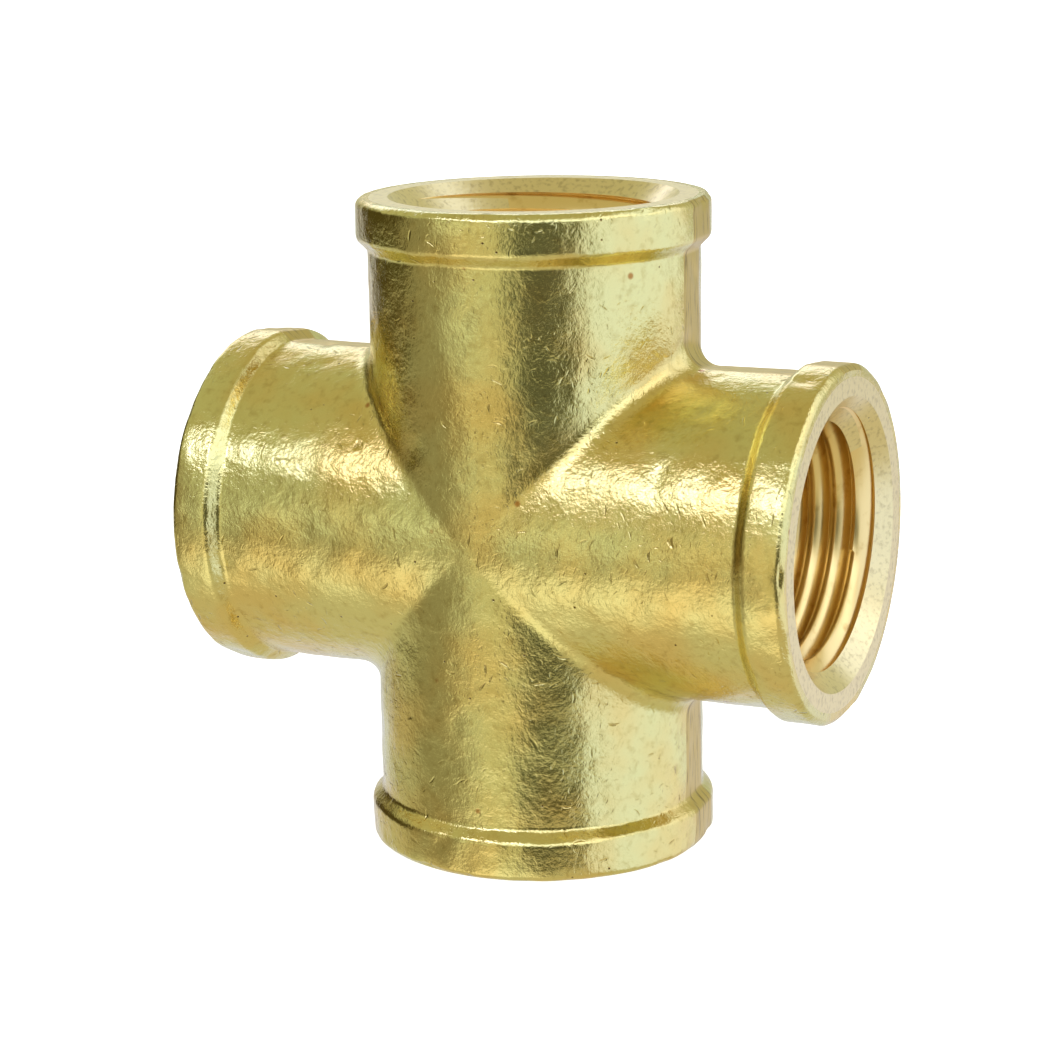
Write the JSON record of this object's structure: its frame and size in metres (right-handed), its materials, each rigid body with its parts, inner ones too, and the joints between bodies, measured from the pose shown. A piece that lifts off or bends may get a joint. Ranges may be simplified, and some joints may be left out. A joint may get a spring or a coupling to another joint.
{
  "type": "pipe cross fitting",
  "caption": "Forged brass pipe cross with equal banded female ports at right angles, each faced, countersunk and tapped with taper pipe thread.",
  "frame": {"origin": "the point where the port axes cross, which is the centre of the bounding box", "axes": "+X along the right port's axis, +Z along the top port's axis, +Y square to both, through the thin direction"},
  "size_m": [0.0514, 0.0278, 0.0514],
  "materials": {
    "forged_brass": "satin"
  },
  "bodies": {
    "root": {"cross_body": "forged_brass"}
  },
  "joints": []
}
